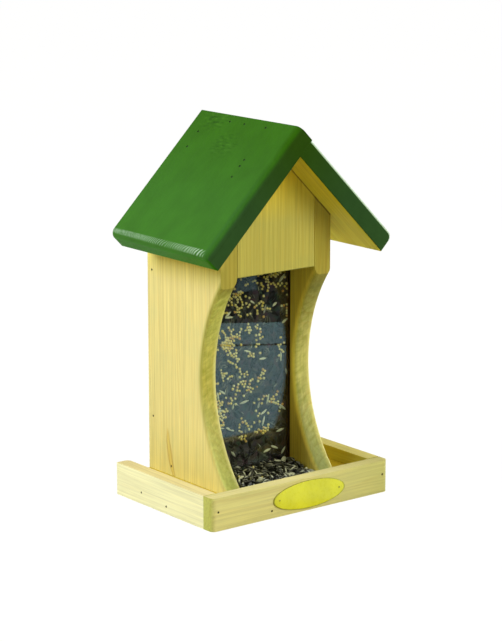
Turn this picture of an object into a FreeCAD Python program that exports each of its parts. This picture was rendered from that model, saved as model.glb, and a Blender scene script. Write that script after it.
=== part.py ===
import FreeCAD, Part
import os
import re
import Sketcher

# Wall bird feeder: a hopper with a clear pane on a railed tray, under a lift-off gable roof.
# Millimetres. X to the right seen from the front, Y to the wall, Z up, from the middle of the tray floor's underside.
# Depths are written from the wall plane, which lies datum_back behind the origin.

doc = FreeCAD.newDocument("feeder")

# Driving sizes, then the sizes that follow from them
SIZES = [
    ("tray_width", "200", "outside width over the side rails"),
    ("tray_reach", "25", "floor in front of the body, to the front rail"),
    ("rail_height", "30", "height of the rails"),
    ("rail_thick", "13", "thickness of the rails"),
    ("rail_short", "3", "side rails end this far short of the wall plane"),
    ("rail_corner", "4.5", "rounding of the upright corners of the rails"),
    ("base_thick", "18", "tray floor board"),
    ("body_width", "123", "outside width over the side panels"),
    ("body_depth", "109", "wall plane to the front of the side panels"),
    ("side_thick", "18", "side panel board"),
    ("arc_foot", "13.8", "tray floor to where the arc runs out in front of the upper edge"),
    ("foot_reach", "14", "most that the side panel's foot comes forward, which the arc cuts back"),
    ("arc_span", "170.4", "chord of the arc on the line of the side panel's upper front edge"),
    ("arc_sag", "27.9", "depth of the arc behind that line"),
    ("arc_round", "6", "rounding over the arc's inner edge"),
    ("arc_ease", "3", "rounding over the arc's outer edge"),
    ("arc_lip", "7.8", "gable board's lower edge above the arc's upper end"),
    ("edge_ease", "1.2", "easing of the sawn edges"),
    ("gable_side", "63.5", "upright side of the gable board"),
    ("gable_thick", "14", "gable board"),
    ("gable_play", "0.5", "gable board and cleat to each side panel"),
    ("roof_thick", "18", "roof boards"),
    ("roof_reach", "33", "roof overhang in front of the body"),
    ("eave_left", "126", "left underside, ridge to eave"),
    ("eave_right", "133.6", "right underside, ridge to eave"),
    ("ridge_proud", "0.3", "left board stands proud of the right one at the ridge"),
    ("roof_round", "6.5", "rounding of the top edges of the roof boards, but for the right board's front"),
    ("front_round", "2.5", "rounding of the right roof board's top edge at the front"),
    ("back_thick", "13", "back panel"),
    ("back_gap", "1", "back panel's top below the roof"),
    ("cleat_thick", "10", "rear roof cleat"),
    ("cleat_side", "5.5", "upright side of the rear roof cleat"),
    ("cleat_play", "0.5", "cleat to the back panel"),
    ("pane_thick", "3", "clear pane"),
    ("pane_play", "0.3", "pane to the groove walls and to the seed"),
    ("pane_lap", "15", "pane above the gable board's lower edge"),
    ("groove_deep", "5", "depth of the pane grooves"),
    ("groove_cover", "7.5", "wood in front of the groove where the arc is deepest"),
    ("seed_gap", "9.4", "gap under the pane for the seed"),
    ("ramp_high", "40", "height of the seed ramp at the back"),
    ("ramp_toe", "8", "toe of the ramp to the pane"),
    ("fill_low", "5", "seed level at the pane below the gable board's lower edge"),
    ("fill_dip", "9", "seed level at the back below the level at the pane"),
    ("spill_front", "3", "depth of the spilled seed at the front rail"),
    ("fix_up", "30", "wall screw holes above the gable board's lower edge"),
    ("fix_apart", "50", "spacing of the wall screw holes"),
    ("fix_bore", "5", "diameter of the wall screw holes"),
    ("nail_bore", "2", "nail diameter"),
    ("nail_long", "38", "nail length"),
    ("nail_sink", "0.4", "nails set below the surface"),
    ("nail_fit", "0.05", "radial clearance of the nail holes"),
    ("ridge_nail_in", "11", "ridge nails above the right board's underside"),
    ("ridge_nail_a", "48.5", "ridge nail from the wall plane"),
    ("ridge_nail_b", "69.5", "ridge nail from the wall plane"),
    ("ridge_nail_c", "99.5", "ridge nail from the wall plane"),
    ("front_nail_a", "25", "gable nail down the slope"),
    ("front_nail_b", "32", "gable nail down the slope"),
    ("front_nail_c", "44", "gable nail down the slope"),
    ("rear_nail_a", "5", "cleat nail down the slope"),
    ("rear_nail_b", "22.5", "cleat nail down the slope"),
    ("rear_nail_step", "4", "left and right cleat nails apart, along the cleat's thickness"),
    ("back_nail_low", "50", "lower back panel nail above the tray floor"),
    ("back_nail_high", "186", "upper back panel nail above the tray floor"),
    ("ramp_nail_up", "8.5", "ramp nail above the tray floor"),
    ("ramp_nail_in", "21", "ramp nail from the back panel"),
    ("rail_nail_a", "41", "side rail nail from the wall plane"),
    ("rail_nail_b", "79", "side rail nail from the wall plane"),
    ("rail_nail_rise", "1.6", "rear side rail nails above the middle of the floor board's edge"),
    ("rail_nail_drop", "2.2", "other nails into the floor board's edge below its middle"),
    ("end_nail_up", "17", "front rail end nail above the underside"),
    ("front_nail_left", "34.6", "front rail nail left of the middle"),
    ("base_nail_a", "25", "base nail from the wall plane"),
    ("base_nail_b", "62", "base nail from the wall plane"),
    ("plate_long", "81.6", "oval plate length"),
    ("plate_high", "25.2", "oval plate height"),
    ("plate_thick", "0.8", "oval plate thickness"),
    ("plate_right", "7.4", "oval plate right of the middle"),
    ("pin_apart", "68", "plate pins apart"),
    ("pin_bore", "1.8", "plate pin diameter"),
    ("pin_long", "9", "plate pin length"),
    ("pin_proud", "0.2", "plate pins stand out of the plate"),
    ("tray_half", "=tray_width / 2", "half the tray's width"),
    ("body_half", "=body_width / 2", "half the body's width"),
    ("inner_half", "=body_half - side_thick", "half the width between the side panels"),
    ("floor_half", "=tray_half - rail_thick", "half the width between the side rails"),
    ("floor_front", "=body_depth + tray_reach", "wall plane to the front rail's back face"),
    ("rail_front", "=floor_front + rail_thick", "wall plane to the front rail's front face"),
    ("datum_back", "=floor_front / 2", "wall plane behind the origin"),
    ("roof_depth", "=body_depth + roof_reach", "roof board width, front to back"),
    ("arc_low", "=base_thick + arc_foot", "lower end of the arc"),
    ("arc_high", "=arc_low + arc_span", "upper end of the arc"),
    ("arc_mid", "=arc_low + arc_span / 2", "centre height of the arc"),
    ("arc_radius", "=(arc_span ^ 2 / 4 + arc_sag ^ 2) / (2 * arc_sag)", "radius of the arc"),
    ("gable_low", "=arc_high + arc_lip", "lower edge of the gable board"),
    ("side_top", "=gable_low + gable_side", "side panel's height at its inner face"),
    ("ridge_in", "=side_top + inner_half", "inner corner of the ridge"),
    ("cleat_low", "=side_top - cleat_side", "lower edge of the rear cleat"),
    ("cleat_back", "=back_thick + cleat_play", "wall plane to the rear cleat"),
    ("gable_back", "=body_depth - gable_thick", "wall plane to the back of the gable board"),
    ("pane_front", "=body_depth - arc_sag - groove_cover - pane_play", "wall plane to the pane's front"),
    ("pane_back", "=pane_front - pane_thick", "wall plane to the pane's back"),
    ("pane_low", "=base_thick + seed_gap", "lower edge of the pane"),
    ("pane_high", "=gable_low + pane_lap", "upper edge of the pane"),
    ("seed_front", "=pane_back - pane_play", "wall plane to the front of the seed in the hopper"),
    ("spill_high", "=pane_low - pane_play", "top of the spilled seed at the pane"),
    ("ramp_front", "=pane_back - ramp_toe", "wall plane to the toe of the ramp"),
    ("half_root", "=sqrt(0.5)", "sine and cosine of the roof's pitch"),
]
NAMES = set(name for name, text, note in SIZES)

sheet = doc.addObject("Spreadsheet::Sheet", "Dims")
for row, (name, text, note) in enumerate(SIZES, 1):
    sheet.set("A%d" % row, name)
    sheet.set("B%d" % row, text)
    sheet.setAlias("B%d" % row, name)
    sheet.set("C%d" % row, note)
doc.recompute()


def sized(text):
    """Formula text with each size's name pointed at the sheet."""
    return re.sub(r"[a-z_]+", lambda m: "Dims." + m.group(0) if m.group(0) in NAMES else m.group(0), text)


def origin_plane(body, which):
    return [f for f in body.Origin.OriginFeatures if f.Name.startswith(which)][0]


def depth(formula):
    """Depth from the wall plane, turned into the model's Y."""
    return "(%s) + datum_back" % formula


def sketch_on(body, plane, name, offset="0"):
    """Empty sketch on one of the body's own origin planes, moved along the plane's normal by offset."""
    if plane == "XZ":
        offset = "(%s) - datum_back" % offset
    sketch = body.newObject("Sketcher::SketchObject", name)
    sketch.AttachmentSupport = [(origin_plane(body, plane), "")]
    sketch.MapMode = "FlatFace"
    sketch.setExpression("AttachmentOffset.Base.z", sized(offset))
    return sketch


def bind(sketch, plane, geometry, position, spot):
    """Signed distances of a point from the sketch's origin, tied to a pair of formulas."""
    for axis, formula in zip(plane, spot):
        if axis == "Y":
            formula = depth(formula)
        kind = "DistanceX" if axis == plane[0] else "DistanceY"
        index = sketch.addConstraint(Sketcher.Constraint(kind, -1, 1, geometry, position, 1.0))
        label = "c%d" % index
        sketch.renameConstraint(index, label)
        sketch.setExpression("Constraints." + label, sized(formula))


def polygon(body, plane, name, points, offset="0"):
    """Closed polygon whose corners are pairs of formulas in the sketch's own axes."""
    sketch = sketch_on(body, plane, name, offset)
    count = len(points)
    start = [FreeCAD.Vector(float(sheet.get("body_depth")), 0, 0)]
    turn = FreeCAD.Rotation(FreeCAD.Vector(0, 0, 1), 360.0 / count)
    for k in range(count - 1):
        start.append(turn.multVec(start[-1]))
    for k in range(count):
        sketch.addGeometry(Part.LineSegment(start[k], start[(k + 1) % count]))
    for k in range(count):
        sketch.addConstraint(Sketcher.Constraint("Coincident", k, 2, (k + 1) % count, 1))
    for k, spot in enumerate(points):
        bind(sketch, plane, k, 1, spot)
    return sketch


def circles(body, plane, name, spots, radius, offset="0"):
    """Circles of one radius at pairs of formulas in the sketch's own axes."""
    sketch = sketch_on(body, plane, name, offset)
    for k, spot in enumerate(spots):
        sketch.addGeometry(Part.Circle(FreeCAD.Vector(10.0 * k, 0, 0), FreeCAD.Vector(0, 0, 1), 2.0))
        bind(sketch, plane, k, 3, spot)
        index = sketch.addConstraint(Sketcher.Constraint("Radius", k, 1.0))
        sketch.renameConstraint(index, "r%d" % k)
        sketch.setExpression("Constraints.r%d" % k, sized(radius))
    return sketch


def pad(body, sketch, length):
    feature = body.newObject("PartDesign::Pad", sketch.Name + "_pad")
    feature.Profile = sketch
    feature.setExpression("Length", sized(length))
    sketch.Visibility = False
    return feature


def pocket(body, sketch, length=None, reverse=False):
    feature = body.newObject("PartDesign::Pocket", sketch.Name + "_pocket")
    feature.Profile = sketch
    if length is None:
        feature.Type = "ThroughAll"
        feature.Midplane = True
    else:
        feature.setExpression("Length", sized(length))
    feature.Reversed = reverse
    sketch.Visibility = False
    return feature


def edges_on(shape, sides):
    """Names of the edges that lie on two of the shape's outer planes."""
    box = shape.BoundBox
    level = {"x-": (0, box.XMin), "x+": (0, box.XMax), "y-": (1, box.YMin), "y+": (1, box.YMax),
             "z-": (2, box.ZMin), "z+": (2, box.ZMax)}
    found = []
    for number, edge in enumerate(shape.Edges, 1):
        for pair in sides:
            spots = [level[s] for s in pair]
            if all(abs(v.Point[axis] - at) < 1e-4 for v in edge.Vertexes for axis, at in spots):
                found.append("Edge%d" % number)
    return found


def arc_edges(shape, outer):
    """Names of a side panel's curved edges on its outer half, or on its inner one."""
    middle = abs(shape.BoundBox.Center.x)
    curved = [(number, edge) for number, edge in enumerate(shape.Edges, 1) if isinstance(edge.Curve, Part.Circle)]
    return ["Edge%d" % number for number, edge in curved if (abs(edge.Vertexes[0].Point.x) > middle) == outer]


def inner_arc(shape):
    return arc_edges(shape, False)


def outer_arc(shape):
    return arc_edges(shape, True)


def ease(body, sides, radius, chosen=None):
    """Rounds edges of the body's last feature: those on the given pairs of outer planes, or the chosen ones."""
    doc.recompute()
    last = body.Tip
    feature = body.newObject("PartDesign::Fillet", body.Name + "_" + radius)
    feature.Base = (last, chosen(last.Shape) if chosen else edges_on(last.Shape, sides))
    feature.setExpression("Radius", sized(radius))
    doc.recompute()
    return feature


def new_body(name):
    return doc.addObject("PartDesign::Body", name)


def board(name, plane, corners, thick, offset="0"):
    body = new_body(name)
    pad(body, polygon(body, plane, name + "_outline", corners, offset), thick)
    return body


def rectangle(low_x, low_y, high_x, high_y):
    return [(low_x, low_y), (high_x, low_y), (high_x, high_y), (low_x, high_y)]


# Nails and the holes that they fill
HALF = 0.5 ** 0.5
AIMS = {
    "right": ((1, 0, 0), FreeCAD.Rotation(FreeCAD.Vector(0, 1, 0), 90)),
    "left": ((-1, 0, 0), FreeCAD.Rotation(FreeCAD.Vector(0, 1, 0), -90)),
    "back": ((0, 1, 0), FreeCAD.Rotation(FreeCAD.Vector(1, 0, 0), -90)),
    "up": ((0, 0, 1), FreeCAD.Rotation()),
    "left_slope": ((HALF, 0, -HALF), FreeCAD.Rotation(FreeCAD.Vector(0, 1, 0), 135)),
    "right_slope": ((-HALF, 0, -HALF), FreeCAD.Rotation(FreeCAD.Vector(0, 1, 0), -135)),
}


def rod(name, spot, aim, back_off, radius, length):
    """Cylinder that starts back_off before the spot on the surface and runs along the aim."""
    way, turn = AIMS[aim]
    item = doc.addObject("Part::Cylinder", name)
    item.Placement = FreeCAD.Placement(FreeCAD.Vector(), turn)
    for axis, at, part in zip("xyz", (spot[0], depth(spot[1]), spot[2]), way):
        item.setExpression("Placement.Base." + axis, sized("(%s) - (%.9f) * (%s)" % (at, part, back_off)))
    item.setExpression("Radius", sized(radius))
    item.setExpression("Height", sized(length))
    return item


def nail_group(label, spots, bore="nail_bore", long="nail_long", sink="nail_sink"):
    """One node of equal nails, and the cutters of their holes, which start a nail's diameter outside the wood."""
    nails, cutters = [], []
    for k, (spot, aim) in enumerate(spots):
        nails.append(rod("%s_%d" % (label, k), spot, aim, "-1 * (%s)" % sink, bore + " / 2", long))
        cutters.append(rod("%s_hole_%d" % (label, k), spot, aim, bore,
                           bore + " / 2 + nail_fit", "%s + (%s) + %s" % (long, sink, bore)))
    group = doc.addObject("Part::Compound", label)
    group.Links = nails
    group.Label = label
    return cutters


def drilled(body, label, cutters):
    """Board with the holes of its nails."""
    tools = doc.addObject("Part::Compound", label + "_cutters")
    tools.Links = cutters
    cut = doc.addObject("Part::Cut", label)
    cut.Base = body
    cut.Tool = tools
    cut.Label = label
    return cut


def on_left_roof(along, depth):
    """Spot on the left roof board's top; along is up the slope from the inner ridge corner."""
    return ("((%s) - roof_thick) * half_root" % along, depth,
            "ridge_in + ((%s) + roof_thick) * half_root" % along)


def on_right_roof(down, depth):
    """Spot on the right roof board's top; down is down the slope from the inner ridge corner."""
    return ("(roof_thick + (%s)) * half_root" % down, depth,
            "ridge_in + (roof_thick - (%s)) * half_root" % down)


GABLE_LINE = "-1 * (gable_back + gable_thick / 2)"
CLEAT_LEFT = "-1 * (cleat_back + cleat_thick / 2 - rear_nail_step / 2)"
CLEAT_RIGHT = "-1 * (cleat_back + cleat_thick / 2 + rear_nail_step / 2)"
BACK_LINE = "-1 * back_thick / 2"

ridge_holes = nail_group("ridge_nails", [
    (on_left_roof("ridge_nail_in", "-1 * " + at), "left_slope")
    for at in ("ridge_nail_a", "ridge_nail_b", "ridge_nail_c")])
gable_left = [(on_left_roof("-1 * " + at, GABLE_LINE), "left_slope")
              for at in ("front_nail_a", "front_nail_b", "front_nail_c")]
gable_right = [(on_right_roof(at, GABLE_LINE), "right_slope")
               for at in ("front_nail_a", "front_nail_b", "front_nail_c")]
gable_holes = nail_group("gable_nails", gable_left + gable_right)
cleat_left = [(on_left_roof("-1 * " + at, CLEAT_LEFT), "left_slope") for at in ("rear_nail_a", "rear_nail_b")]
cleat_right = [(on_right_roof(at, CLEAT_RIGHT), "right_slope") for at in ("rear_nail_a", "rear_nail_b")]
cleat_holes = nail_group("cleat_nails", cleat_left + cleat_right)

back_levels = ("base_thick + back_nail_low", "base_thick + back_nail_high")
back_left = [(("-1 * body_half", BACK_LINE, up), "right") for up in back_levels]
back_right = [(("body_half", BACK_LINE, up), "left") for up in back_levels]
back_holes = nail_group("back_nails", back_left + back_right)

RAMP_SPOT = ("-1 * (back_thick + ramp_nail_in)", "base_thick + ramp_nail_up")
ramp_holes = nail_group("ramp_nails", [
    (("-1 * body_half",) + RAMP_SPOT, "right"),
    (("body_half",) + RAMP_SPOT, "left")])

base_left = [(("-1 * body_half + side_thick / 2", "-1 * " + at, "0"), "up") for at in ("base_nail_a", "base_nail_b")]
base_right = [(("body_half - side_thick / 2", "-1 * " + at, "0"), "up") for at in ("base_nail_a", "base_nail_b")]
base_holes = nail_group("base_nails", base_left + base_right)

EDGE_LOW = "base_thick / 2 - rail_nail_drop"
rail_spots = (("-1 * rail_nail_a", "base_thick / 2 + rail_nail_rise"), ("-1 * rail_nail_b", EDGE_LOW))
rail_left = [(("-1 * tray_half",) + spot, "right") for spot in rail_spots]
rail_right = [(("tray_half",) + spot, "left") for spot in rail_spots]
rail_holes = nail_group("side_rail_nails", rail_left + rail_right)

front_holes = nail_group("front_rail_nails", [
    (("-1 * tray_half + rail_thick / 2", "-1 * rail_front", "end_nail_up"), "back"),
    (("tray_half - rail_thick / 2", "-1 * rail_front", "end_nail_up"), "back"),
    (("-1 * front_nail_left", "-1 * rail_front", EDGE_LOW), "back")])

pin_holes = nail_group("plate_pins", [
    (("plate_right - pin_apart / 2", "-1 * (rail_front + plate_thick)", "rail_height / 2"), "back"),
    (("plate_right + pin_apart / 2", "-1 * (rail_front + plate_thick)", "rail_height / 2"), "back")],
    "pin_bore", "pin_long", "-1 * pin_proud")

# Tray
base = board("base_blank", "XY", rectangle("-1 * floor_half", "-1 * floor_front", "floor_half", "0"), "base_thick")
drilled(base, "base_board", rail_holes + front_holes[2:] + base_holes)

front = board("front_rail_blank", "XY",
              rectangle("-1 * tray_half", "-1 * rail_front", "tray_half", "-1 * floor_front"), "rail_height")
ease(front, [("x-", "y-"), ("x+", "y-")], "rail_corner")
ease(front, [("z+", "y+")], "edge_ease")
drilled(front, "front_rail", front_holes + pin_holes)

for side, low, high, inner, holes in (
        ("left", "-1 * tray_half", "-1 * floor_half", "x+", rail_holes[:2] + front_holes[:1]),
        ("right", "floor_half", "tray_half", "x-", rail_holes[2:] + front_holes[1:2])):
    rail = board(side + "_rail_blank", "XY", rectangle(low, "-1 * floor_front", high, "-1 * rail_short"), "rail_height")
    ease(rail, [(inner, "y+")], "rail_corner")
    drilled(rail, side + "_rail", holes)

# Body of the hopper
for side, sign, face, holes in (
        ("left", "-1", "-1 * body_half", back_holes[:2] + ramp_holes[:1] + base_holes[:2]),
        ("right", "1", "inner_half", back_holes[2:] + ramp_holes[1:] + base_holes[2:])):
    foot = "-1 * (body_depth + foot_reach)"
    outline = [(foot, "base_thick"), ("0", "base_thick"), ("0", "side_top"), ("-1 * body_depth", "side_top"),
               ("-1 * body_depth", "arc_mid"), (foot, "arc_mid")]
    panel = board(side + "_panel_blank", "YZ", outline, "side_thick", face)
    pocket(panel, circles(panel, "YZ", side + "_arc", [("-1 * (body_depth - arc_sag + arc_radius)", "arc_mid")],
                          "arc_radius"))
    ease(panel, [], "arc_round", inner_arc)
    ease(panel, [], "arc_ease", outer_arc)
    bevel = [(sign + " * inner_half", "side_top"),
             (sign + " * (body_half + side_thick)", "side_top - 2 * side_thick"),
             (sign + " * (body_half + side_thick)", "side_top + side_thick"),
             (sign + " * inner_half", "side_top + side_thick")]
    pocket(panel, polygon(panel, "XZ", side + "_bevel", bevel))
    groove = rectangle(sign + " * (inner_half - groove_deep)", "-1 * (pane_front + pane_play)",
                       sign + " * (inner_half + groove_deep)", "-1 * (pane_back - pane_play)")
    pocket(panel, polygon(panel, "XY", side + "_groove", groove, "pane_low"), "side_top - pane_low + groove_deep", True)
    drilled(panel, side + "_side_panel", holes)


def gabled(half, low, fall):
    """Board with a square ridge, fall below the roof's underside."""
    return [("-1 * (%s)" % half, low), (half, low), (half, "ridge_in - (%s) - (%s)" % (half, fall)),
            ("0", "ridge_in - (%s)" % fall), ("-1 * (%s)" % half, "ridge_in - (%s) - (%s)" % (half, fall))]


back = board("back_blank", "XZ", gabled("inner_half", "base_thick", "back_gap"), "back_thick")
screw_spots = [("-1 * fix_apart / 2", "gable_low + fix_up"), ("fix_apart / 2", "gable_low + fix_up")]
pocket(back, circles(back, "XZ", "wall_screws", screw_spots, "fix_bore / 2"))
drilled(back, "back_panel", back_holes)

ramp = board("ramp_blank", "YZ", [("-1 * ramp_front", "base_thick"), ("-1 * back_thick", "base_thick"),
                                  ("-1 * back_thick", "base_thick + ramp_high")], "2 * inner_half", "-1 * inner_half")
drilled(ramp, "seed_ramp", ramp_holes)

pane_half = "inner_half + groove_deep - pane_play"
pane = board("window_pane", "XZ", rectangle("-1 * (%s)" % pane_half, "pane_low", pane_half, "pane_high"),
             "pane_thick", "pane_back")

# Seed behind the pane, and seed run out onto the tray
fill = board("seed_fill", "YZ", [
    ("-1 * seed_front", "base_thick"), ("-1 * ramp_front", "base_thick"), ("-1 * back_thick", "base_thick + ramp_high"),
    ("-1 * back_thick", "gable_low - fill_low - fill_dip"), ("-1 * seed_front", "gable_low - fill_low")],
    "2 * inner_half", "-1 * inner_half")
spill = board("seed_spill", "YZ", [
    ("-1 * floor_front", "base_thick"), ("-1 * seed_front", "base_thick"), ("-1 * seed_front", "spill_high"),
    ("-1 * (body_depth - pane_play)", "spill_high"), ("-1 * floor_front", "base_thick + spill_front")],
    "2 * inner_half", "-1 * inner_half")

# Roof that lifts off, with its gable board and rear cleat
gable = board("gable_blank", "XZ", gabled("inner_half - gable_play", "gable_low", "0"), "gable_thick", "gable_back")
ease(gable, [("z-", "y-")], "edge_ease")
drilled(gable, "gable_board", gable_holes)
cleat = board("cleat_blank", "XZ", gabled("inner_half - gable_play", "cleat_low", "0"), "cleat_thick", "cleat_back")
drilled(cleat, "roof_cleat", cleat_holes)

for side, angle, near, far, eave, front, holes in (
        ("left", -45, "-1 * eave_left", "roof_thick + ridge_proud", "x-", "roof_round",
         ridge_holes + gable_holes[:3] + cleat_holes[:2]),
        ("right", 45, "0", "eave_right", "x+", "front_round", ridge_holes + gable_holes[3:] + cleat_holes[2:])):
    roof = board(side + "_roof_blank", "XY", rectangle(near, "-1 * roof_depth", far, "0"), "roof_thick")
    if front == "roof_round":
        ease(roof, [("z+", "y-"), ("z+", eave)], "roof_round")
    else:
        ease(roof, [("z+", eave)], "roof_round")
        ease(roof, [("z+", "y-")], front)
    roof.Placement = FreeCAD.Placement(FreeCAD.Vector(), FreeCAD.Rotation(FreeCAD.Vector(0, 1, 0), angle))
    roof.setExpression("Placement.Base.z", sized("ridge_in"))
    drilled(roof, side + "_roof_board", holes)

# Oval plate on the front rail
oval = doc.addObject("Part::Ellipse", "plate_outline")
oval.Placement = FreeCAD.Placement(FreeCAD.Vector(), FreeCAD.Rotation(FreeCAD.Vector(1, 0, 0), 90))
oval.setExpression("MajorRadius", sized("plate_long / 2"))
oval.setExpression("MinorRadius", sized("plate_high / 2"))
oval.setExpression("Placement.Base.x", sized("plate_right"))
oval.setExpression("Placement.Base.y", sized(depth("-1 * rail_front")))
oval.setExpression("Placement.Base.z", sized("rail_height / 2"))
disc = doc.addObject("Part::Extrusion", "plate_disc")
disc.Base = oval
disc.DirMode = "Custom"
disc.Dir = FreeCAD.Vector(0, -1, 0)
disc.setExpression("LengthFwd", sized("plate_thick"))
disc.Solid = True
drilled(disc, "oval_plate", pin_holes)

doc.recompute()

NODES = [
    "base_board", "front_rail", "left_rail", "right_rail", "left_side_panel", "right_side_panel", "back_panel",
    "seed_ramp", "window_pane", "seed_fill", "seed_spill", "gable_board", "roof_cleat", "left_roof_board",
    "right_roof_board", "oval_plate", "plate_pins", "ridge_nails", "gable_nails", "cleat_nails", "back_nails",
    "ramp_nails", "base_nails", "side_rail_nails", "front_rail_nails",
]

for item in doc.Objects:
    bad = [state for state in item.State if state in ("Invalid", "Error")]
    if bad:
        raise RuntimeError("%s: %s" % (item.Name, bad))
os.makedirs("parts", exist_ok=True)
for label in NODES:
    node = doc.getObjectsByLabel(label)[0]
    shape = node.Shape
    if shape.isNull() or not shape.isValid() or not shape.Solids:
        raise RuntimeError("%s has no valid solid" % label)
    shape.exportStep("parts/%s.step" % label)
    box = shape.BoundBox
    print("%-18s solids %d  volume %9.1f  x %7.2f %7.2f  y %8.2f %7.2f  z %7.2f %7.2f" % (
        label, len(shape.Solids), shape.Volume, box.XMin, box.XMax, box.YMin, box.YMax, box.ZMin, box.ZMax))
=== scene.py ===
"""Looks of the wall bird feeder around its packed frame, laid out as an add-on and run as a script."""

import math
import random
from collections import defaultdict

import bmesh
import bpy
from bpy.props import FloatProperty, FloatVectorProperty, IntProperty, PointerProperty
from mathutils import Matrix, Quaternion, Vector
from mathutils.kdtree import KDTree


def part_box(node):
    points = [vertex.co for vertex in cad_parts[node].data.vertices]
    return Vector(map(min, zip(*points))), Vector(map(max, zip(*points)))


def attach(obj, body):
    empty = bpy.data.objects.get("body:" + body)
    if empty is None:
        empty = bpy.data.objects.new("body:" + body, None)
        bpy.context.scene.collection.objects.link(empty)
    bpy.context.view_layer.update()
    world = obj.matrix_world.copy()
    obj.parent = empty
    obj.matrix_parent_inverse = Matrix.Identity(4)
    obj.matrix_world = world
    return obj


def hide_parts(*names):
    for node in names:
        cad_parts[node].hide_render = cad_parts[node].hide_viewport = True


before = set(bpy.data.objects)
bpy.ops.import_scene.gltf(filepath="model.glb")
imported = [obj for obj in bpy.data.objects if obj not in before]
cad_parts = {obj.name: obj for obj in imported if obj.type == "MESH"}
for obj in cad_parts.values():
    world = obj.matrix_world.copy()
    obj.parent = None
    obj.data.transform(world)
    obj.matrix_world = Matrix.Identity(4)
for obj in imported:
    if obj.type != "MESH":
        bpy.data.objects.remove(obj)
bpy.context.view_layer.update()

bl_info = {
    "name": "Wall bird feeder",
    "version": (1, 0, 0),
    "blender": (4, 5, 0),
    "location": "View3D > Sidebar > Feeder",
    "description": "Dresses the packed bird feeder and sets its studio",
    "category": "Object",
}

MM = 0.001
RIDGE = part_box("gable_board")[1].z
ROOF_PITCH = math.radians(45)
# Axis, along X, and radius of the arcs cut in the side panels
ARC_AXIS = Vector((0.0, -158.1 * MM, 117 * MM))
ARC_RADIUS = 144 * MM

# Turns that lay a board's grain along the pattern's Z
UPRIGHT = (0.0, 0.0, 0.0)
ACROSS = (0.0, math.radians(-90), 0.0)
FRONT_TO_BACK = (math.radians(90), 0.0, 0.0)

# Ways that a face looks
LEFT = (-1.0, 0.0, 0.0)
RIGHT = (1.0, 0.0, 0.0)
FRONT = (0.0, -1.0, 0.0)
REAR = (0.0, 1.0, 0.0)
UP = (0.0, 0.0, 1.0)

# Corners sharper than the first angle are eased, and flatter than the second shaded smooth
SHARP_CORNER = math.radians(40)
SMOOTH_CORNER = math.radians(32)

# Grains of sunflower, millet and oat against the pane, on top of the heap and on the tray
PANE_HUSKS, PANE_MILLETS, PANE_OATS = 560, 450, 40
TOP_GRAINS = (170, 220, 30)
TRAY_HUSKS, TRAY_MILLETS, TRAY_OATS = 95, 14, 8
MILLET_CLUSTERS = 50
PALE_TRAY_SEEDS = 9
SEED_TONES = 16

# Width in pixels of the picture that the camera was fitted to, and the point that the lamps aim at
PICTURE_WIDE = 502
FEEDER_MIDDLE = Vector((0.0, 0.0, 0.17))
WHITE = (1.0, 1.0, 1.0, 1.0)


def prepared(work):
    """Lets a function take its settings first and what it works on later."""
    return lambda *settings: lambda *subject: work(*subject, *settings)


# Settings that a user would change

def colour(name, default, description):
    return FloatVectorProperty(name=name, description=description, default=default, size=3, min=0.0, max=1.0,
                               subtype="COLOR")


def length(name, default, description):
    return FloatProperty(name=name, description=description, default=default, min=0.0, unit="LENGTH",
                         precision=5)


def amount(name, default, description, highest=1.0):
    return FloatProperty(name=name, description=description, default=default, min=0.0, max=highest)


def angle(name, degrees, description):
    return FloatProperty(name=name, description=description, default=math.radians(degrees), subtype="ANGLE")


class BoardLook(bpy.types.PropertyGroup):
    """Bare pine boards"""
    pale: colour("Early wood", (0.80, 0.67, 0.27), "Colour between the rings")
    late: colour("Late wood", (0.66, 0.44, 0.11), "Colour of the rings")
    stain: colour("Stain", (0.62, 0.60, 0.27), "Greenish patches")
    resin: colour("Resin", (0.42, 0.22, 0.03), "Resin streaks")
    end: colour("End grain", (0.62, 0.66, 0.31), "Darkening of the end grain")
    ring_gap: length("Ring gap", 3.4 * MM, "Distance from ring to ring")
    ease: length("Eased edges", 0.8 * MM, "Rounding of the boards' edges")


class RoofLook(bpy.types.PropertyGroup):
    """Painted roof boards"""
    paint: colour("Paint", (0.035, 0.150, 0.010), "Green satin paint")
    # Pale paint on the eave's rounded edge: rubbed paint and a painted highlight
    pale_wear_and_highlight: colour("Thin paint", (0.50, 0.68, 0.52), "Paint rubbed pale on the eaves' ridges")
    # Colour of the painted highlight along the right roof board's rounded top front edge
    shine: colour("Shine", (0.56, 0.76, 0.70), "Pale top edge at the front")
    gloss: amount("Roughness", 0.5, "Roughness of the paint")


class PaneLook(bpy.types.PropertyGroup):
    """Clear pane"""
    tint: colour("Tint", (0.96, 0.98, 0.98), "Colour that the pane lets through")
    ior: amount("Index of refraction", 1.49, "Bending of light in the pane", 3.0)


class SeedLook(bpy.types.PropertyGroup):
    """Bird seed"""
    husk: colour("Husk", (0.005, 0.0055, 0.005), "Dark sunflower husk")
    stripe: colour("Stripe", (0.64, 0.69, 0.56), "Pale stripes of the husk")
    millet: colour("Millet", (0.77, 0.64, 0.13), "Millet grains")
    oat: colour("Oat", (0.62, 0.66, 0.46), "Oat grains")
    sunflower_long: length("Sunflower length", 10.5 * MM, "Mean length of a sunflower seed")
    millet_wide: length("Millet diameter", 2.4 * MM, "Mean diameter of a millet grain")
    oat_long: length("Oat length", 10.0 * MM, "Mean length of an oat grain")
    draw: IntProperty(name="Draw", description="Start of the random draws", default=7, min=0)


class PlateLook(bpy.types.PropertyGroup):
    """Bare oval plate"""
    enamel: colour("Enamel", (0.93, 0.96, 0.05), "Yellow enamel")
    # Colour of the painted shadow along the plate's edge, also used on the rubbed pin heads
    rim: colour("Rim", (0.20, 0.20, 0.02), "Darker edge of the enamel")
    crown: length("Crown", 0.15 * MM, "How far the plate's middle swells")


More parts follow.
